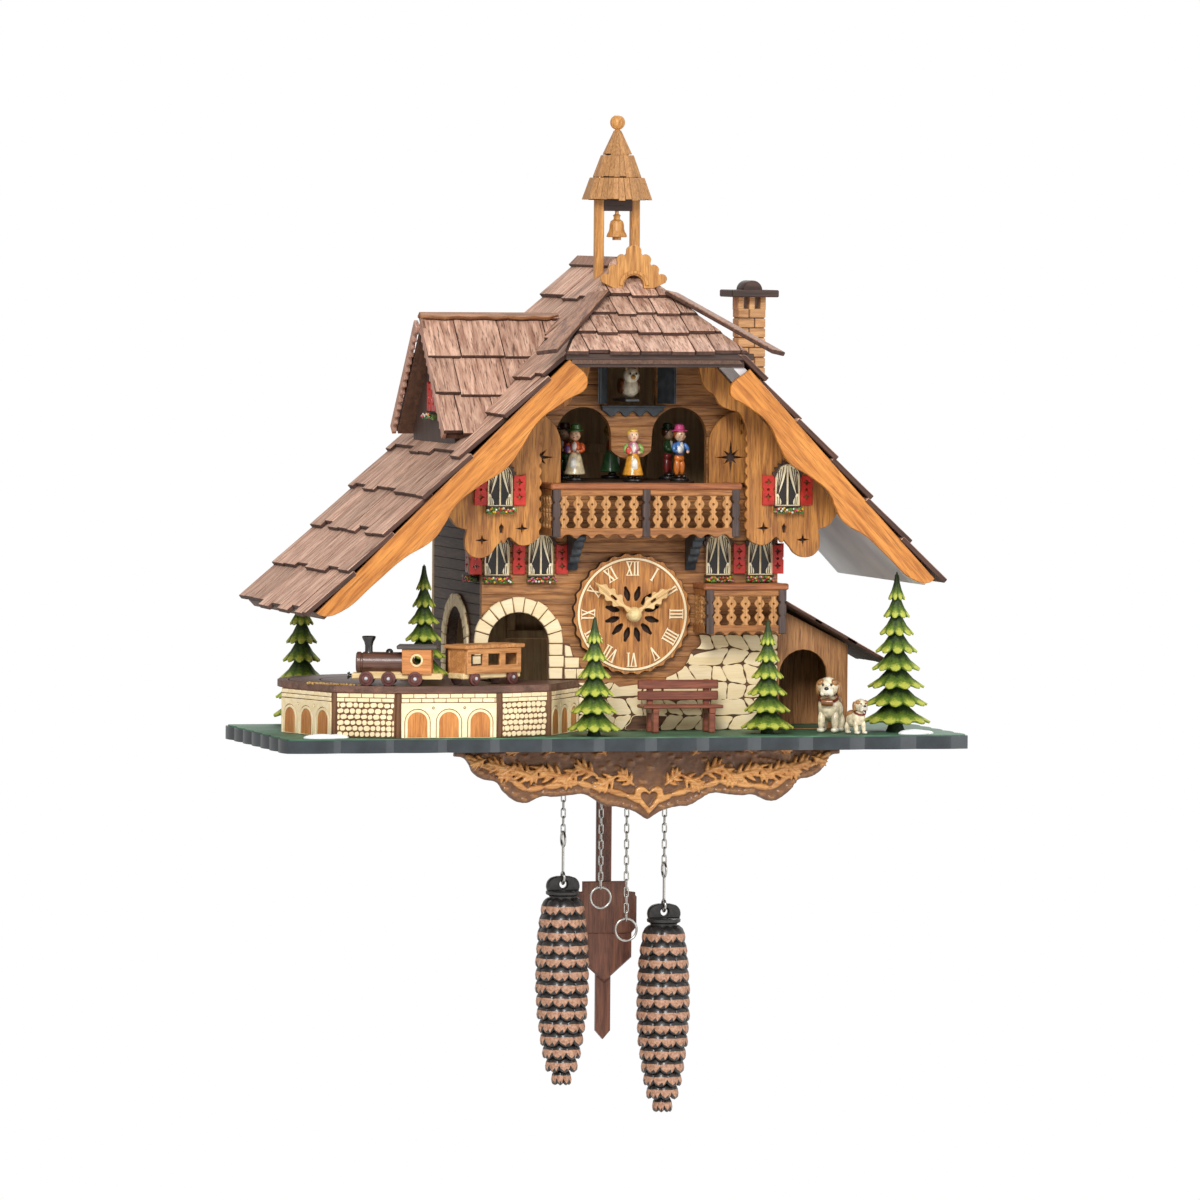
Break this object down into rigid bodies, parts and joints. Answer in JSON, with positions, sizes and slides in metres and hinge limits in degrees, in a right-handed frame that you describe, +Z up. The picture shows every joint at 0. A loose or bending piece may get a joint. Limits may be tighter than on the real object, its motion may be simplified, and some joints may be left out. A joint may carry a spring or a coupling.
{
  "type": "cuckoo clock",
  "caption": "Chalet cuckoo clock: shingled house with dial, cuckoo behind doors, turning dancers, a train on a viaduct, pendulum and cone weights; hangs on a wall hook.",
  "frame": {"origin": "centre of the wall-hook hole, on the rear face of the back panel", "axes": "+Z up, +Y into the wall, the dial faces -Y"},
  "size_m": [0.4825, 0.2272, 0.6869],
  "materials": {
    "black_board": "painted near-black board",
    "green_paint": "hand painted green",
    "carved_lime": "stained carved limewood",
    "oak_board": "oiled boards",
    "plywood": "raw plywood",
    "brown_board": "dark stained board",
    "shingle_wood": "weathered stained shingles",
    "golden_wood": "golden oiled wood",
    "chimney_wood": "brick-scored wood",
    "dark_wood": "black stained wood",
    "pale_maple": "pale engraved maple",
    "red_paint": "red painted wood",
    "flower_paint": "painted flowers",
    "bench_wood": "red-brown stained wood",
    "painted_resin": "hand painted resin",
    "black_plastic": "moulded plastic",
    "battery_metal": "metal can",
    "steel": "aged nickel",
    "train_wood": "oiled wood",
    "walnut": "walnut stained wood",
    "cone_bronze": "cast cone painted black with copper tips"
  },
  "bodies": {
    "case": {"base_plate": "black_board", "grass_cover": "green_paint", "carved_apron": "carved_lime", "front_wall": "oak_board", "left_wall": "oak_board", "right_wall": "oak_board", "back_panel": "plywood", "roof_left": "brown_board", "roof_right": "brown_board", "roof_hip": "brown_board", "roof_shingles": "shingle_wood", "ridge_caps": "brown_board", "bargeboards": "golden_wood", "fretworks": "golden_wood", "dormer_walls": "golden_wood", "dormer_roof": "brown_board", "chimney": "chimney_wood", "bell_tower": "golden_wood", "tower_board": "golden_wood", "upper_balcony": "golden_wood", "lower_balcony": "golden_wood", "corbels": "dark_wood", "star_shutters": "golden_wood", "windows": "pale_maple", "shutters": "red_paint", "flower_boxes": "flower_paint", "stonework": "pale_maple", "bridge_deck": "brown_board", "bridge_panels": "pale_maple", "trees": "green_paint", "bench": "bench_wood", "shed": "oak_board", "dogs": "painted_resin", "dial": "golden_wood", "chapter_ring": "pale_maple", "movement": "black_plastic", "battery_pack": "battery_metal", "speaker": "black_plastic", "carousel_motor": "black_plastic", "train_motor": "black_plastic", "chain_bar": "steel"},
    "rear_door": {"rear_door": "plywood"},
    "minute_hand": {"minute_hand": "pale_maple"},
    "hour_hand": {"hour_hand": "pale_maple"},
    "cuckoo": {"cuckoo": "painted_resin"},
    "door_leaf_left": {"cuckoo_door_left": "dark_wood"},
    "door_leaf_right": {"cuckoo_door_right": "dark_wood"},
    "dancer_table": {"carousel": "dark_wood", "dancers": "painted_resin"},
    "train_ring": {"train_disc": "brown_board", "locomotive": "train_wood", "wagon": "train_wood"},
    "pendulum": {"pendulum_rod": "walnut", "pendulum_bob": "walnut"},
    "strand_left": {"chain_left": "steel", "cone_left": "cone_bronze"},
    "strand_right": {"chain_right": "steel", "cone_right": "cone_bronze"},
    "strand_idle_left": {"chain_idle_left": "steel"},
    "strand_idle_right": {"chain_idle_right": "steel"}
  },
  "joints": [
    {"name": "rear_door_hinge", "type": "hinge", "parent": "case", "child": "rear_door", "pos_m": [0.05, 0, -0.16], "axis": [0, 0, -1], "range_deg": [0, 95]},
    {"name": "minute_turn", "type": "hinge", "parent": "case", "child": "minute_hand", "pos_m": [0, -0.141, -0.2048], "axis": [0, 1, 0], "continuous": true},
    {"name": "hour_turn", "type": "hinge", "parent": "case", "child": "hour_hand", "pos_m": [0, -0.141, -0.2048], "axis": [0, 1, 0], "continuous": true},
    {"name": "cuckoo_slide", "type": "slide", "parent": "case", "child": "cuckoo", "axis": [0, 1, 0], "range_m": [0, 0.034]},
    {"name": "left_leaf_hinge", "type": "hinge", "parent": "case", "child": "door_leaf_left", "pos_m": [-0.0175, -0.142, -0.046], "axis": [0, 0, 1], "range_deg": [0, 120]},
    {"name": "right_leaf_hinge", "type": "hinge", "parent": "case", "child": "door_leaf_right", "pos_m": [0.0175, -0.142, -0.046], "axis": [0, 0, -1], "range_deg": [0, 120]},
    {"name": "dancer_turn", "type": "hinge", "parent": "case", "child": "dancer_table", "pos_m": [0, -0.116, -0.115], "axis": [0, 0, 1], "continuous": true},
    {"name": "train_turn", "type": "hinge", "parent": "case", "child": "train_ring", "pos_m": [-0.155, -0.13, -0.252], "axis": [0, 0, 1], "continuous": true},
    {"name": "pendulum_swing", "type": "hinge", "parent": "case", "child": "pendulum", "pos_m": [0, -0.076, -0.241], "axis": [0, 1, 0], "range_deg": [-5, 5]},
    {"name": "chain_swing_left", "type": "hinge", "parent": "case", "child": "strand_left", "pos_m": [-0.0362, -0.103, -0.2624], "axis": [-1, 0, 0], "range_deg": [0, 8]},
    {"name": "chain_swing_right", "type": "hinge", "parent": "case", "child": "strand_right", "pos_m": [0.0362, -0.103, -0.2624], "axis": [-1, 0, 0], "range_deg": [0, 8]},
    {"name": "chain_swing_idle_left", "type": "hinge", "parent": "case", "child": "strand_idle_left", "pos_m": [-0.0092, -0.103, -0.2624], "axis": [-1, 0, 0], "range_deg": [0, 8]},
    {"name": "chain_swing_idle_right", "type": "hinge", "parent": "case", "child": "strand_idle_right", "pos_m": [0.0092, -0.103, -0.2624], "axis": [-1, 0, 0], "range_deg": [0, 8]}
  ],
  "couplings": [
    {"joint": "hour_turn", "follows": "minute_turn", "ratio": 0.083333},
    {"joint": "left_leaf_hinge", "follows": "cuckoo_slide", "rad_per_m": 61.594},
    {"joint": "right_leaf_hinge", "follows": "cuckoo_slide", "rad_per_m": 61.594}
  ]
}
